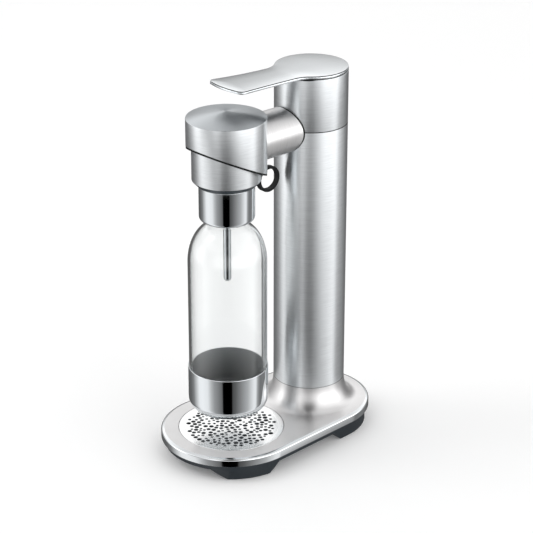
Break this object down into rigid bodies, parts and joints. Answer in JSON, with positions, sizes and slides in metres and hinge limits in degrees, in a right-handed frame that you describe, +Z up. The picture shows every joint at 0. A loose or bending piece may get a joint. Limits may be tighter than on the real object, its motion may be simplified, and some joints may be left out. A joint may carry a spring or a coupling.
{
  "type": "sparkling water maker",
  "caption": "Press-lever sparkling water maker: bottle in a tilting holder under a cylindrical head, gas cylinder in the round column, oval base with a drip tray.",
  "frame": {"origin": "middle of the footprint on the worktop", "axes": "+Z up, the bottle and the lever's tip towards -Y, the column towards +Y"},
  "size_m": [0.152, 0.255, 0.4154],
  "materials": {
    "deck_steel": "satin brushed, bright rim",
    "column_steel": "brushed around",
    "head_steel": "brushed around, spun lid",
    "grille_steel": "bright satin",
    "inner_steel": "mill finish",
    "lever_metal": "satin polished",
    "chrome": "mirror polished",
    "slate_plastic": "fine matte",
    "black_plastic": "satin",
    "rubber": "matte",
    "clear": "clear and polished",
    "brass": "turned",
    "cylinder_alloy": "satin"
  },
  "bodies": {
    "stand": {"base_plate": "deck_steel", "base_chassis": "slate_plastic", "rubber_feet": "rubber", "base_screws": "inner_steel", "column_tube": "column_steel", "upper_housing": "column_steel", "arm_tube": "head_steel", "head_housing": "head_steel", "head_lid": "head_steel", "head_block": "black_plastic", "tilt_pins": "inner_steel", "spine_frame": "inner_steel", "valve_connector": "inner_steel", "valve_seal": "rubber", "gas_hose": "black_plastic", "pivot_bracket": "inner_steel", "bracket_screws": "inner_steel", "lever_pin": "inner_steel", "rocker_pin": "inner_steel", "lever_spring": "inner_steel"},
    "lever": {"lever_top": "lever_metal", "lever_shell": "chrome", "lever_hub": "inner_steel", "lever_screws": "inner_steel"},
    "rocker": {"rocker_arm": "inner_steel"},
    "push_pin": {"push_pin": "inner_steel"},
    "cylinder": {"gas_cylinder": "cylinder_alloy", "cylinder_valve": "brass"},
    "valve_pin": {"valve_pin": "inner_steel"},
    "holder": {"holder_shell": "head_steel", "holder_bevel": "slate_plastic", "nozzle_block": "black_plastic", "thread_ring": "inner_steel", "bottle_gasket": "rubber", "wand_tube": "chrome", "wand_tip": "chrome", "relief_body": "brass", "relief_spring": "inner_steel", "ring_pin": "inner_steel"},
    "relief_poppet": {"relief_poppet": "inner_steel"},
    "ring": {"release_ring": "black_plastic"},
    "bottle": {"bottle_glass": "clear", "bottle_collar": "chrome", "bottle_cup": "chrome"},
    "bowl": {"drip_bowl": "black_plastic"},
    "grille": {"drip_grille": "grille_steel"}
  },
  "joints": [
    {"name": "lever_press", "type": "hinge", "parent": "stand", "child": "lever", "pos_m": [0, 0.0305, 0.4], "axis": [1, 0, 0], "range_deg": [0, 12], "stiffness_Nm_per_rad": 2, "springref_deg": -6.88},
    {"name": "rocker_turn", "type": "hinge", "parent": "stand", "child": "rocker", "pos_m": [0, 0.045, 0.378], "axis": [-1, 0, 0], "range_deg": [0, 10.1]},
    {"name": "push_pin_slide", "type": "slide", "parent": "stand", "child": "push_pin", "axis": [0, 0, -1], "range_m": [0, 0.00335]},
    {"name": "valve_pin_slide", "type": "slide", "parent": "cylinder", "child": "valve_pin", "axis": [0, 0, -1], "range_m": [0, 0.00335]},
    {"name": "cylinder_unscrew", "type": "hinge", "parent": "stand", "child": "cylinder", "pos_m": [0, 0.061, 0.2], "axis": [0, 0, -1], "range_deg": [0, 720]},
    {"name": "holder_tilt", "type": "hinge", "parent": "stand", "child": "holder", "pos_m": [0, -0.0552, 0.35], "axis": [-1, 0, 0], "range_deg": [0, 16]},
    {"name": "bottle_unscrew", "type": "hinge", "parent": "holder", "child": "bottle", "pos_m": [0, -0.0552, 0.2], "axis": [0, 0, -1], "range_deg": [0, 180]},
    {"name": "ring_pull", "type": "hinge", "parent": "holder", "child": "ring", "pos_m": [0, -0.019, 0.303], "axis": [-1, 0, 0], "range_deg": [0, 60], "stiffness_Nm_per_rad": 0.03, "springref_deg": -5.73},
    {"name": "relief_lift", "type": "slide", "parent": "holder", "child": "relief_poppet", "axis": [0, 0, 1], "range_m": [0, 0.0015], "stiffness_N_per_m": 800, "springref_m": -0.001},
    {"name": "bowl_lift", "type": "slide", "parent": "stand", "child": "bowl", "axis": [0, 0, 1], "range_m": [0, 0.01]},
    {"name": "grille_lift", "type": "slide", "parent": "bowl", "child": "grille", "axis": [0, 0, 1], "range_m": [0, 0.006]}
  ],
  "couplings": [
    {"joint": "rocker_turn", "follows": "lever_press", "ratio": 0.84},
    {"joint": "push_pin_slide", "follows": "lever_press", "m_per_rad": 0.0158},
    {"joint": "valve_pin_slide", "follows": "lever_press", "m_per_rad": 0.0158}
  ]
}
